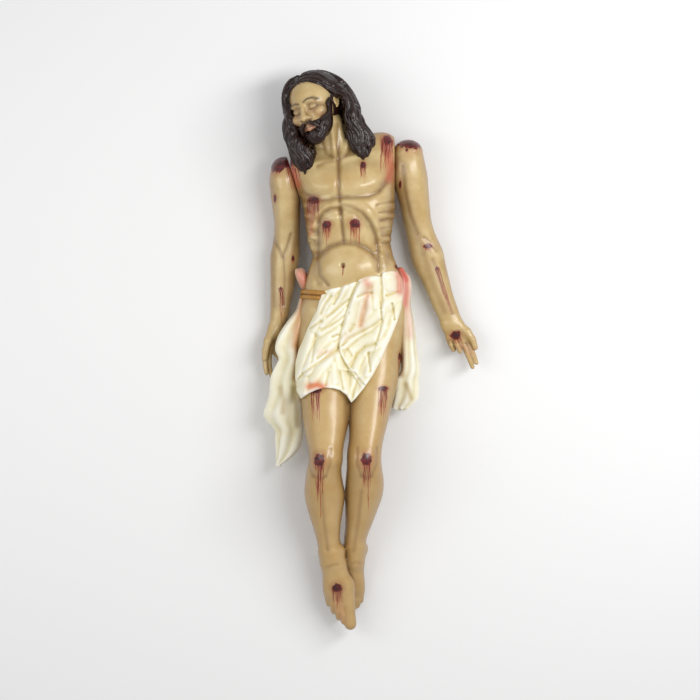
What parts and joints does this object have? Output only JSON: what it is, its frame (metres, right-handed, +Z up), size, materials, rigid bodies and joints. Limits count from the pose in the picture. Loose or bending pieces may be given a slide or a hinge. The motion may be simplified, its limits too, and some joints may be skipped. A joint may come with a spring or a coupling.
{
  "type": "dead christ figure",
  "caption": "Life-size carved and painted wooden figure of a crucified man lying on its back, with long hair, a beard, painted wounds, a roped loincloth and separately carved arms.",
  "frame": {"origin": "middle of the figure's footprint, on the floor it lies on", "axes": "+Y from the feet to the head, +X to the figure's left, +Z up, out of its chest"},
  "size_m": [0.6746, 1.7316, 0.286],
  "materials": {
    "body_paint": "glossy varnished oil paint on carved wood: ochre flesh, dark brown hair, cream cloth, red wounds",
    "right_arm_paint": "glossy varnished ochre flesh paint on carved wood, with red wounds",
    "left_arm_paint": "glossy varnished ochre flesh paint on carved wood, with red wounds"
  },
  "bodies": {
    "root": {"body": "body_paint", "right_arm": "right_arm_paint", "left_arm": "left_arm_paint"}
  },
  "joints": []
}
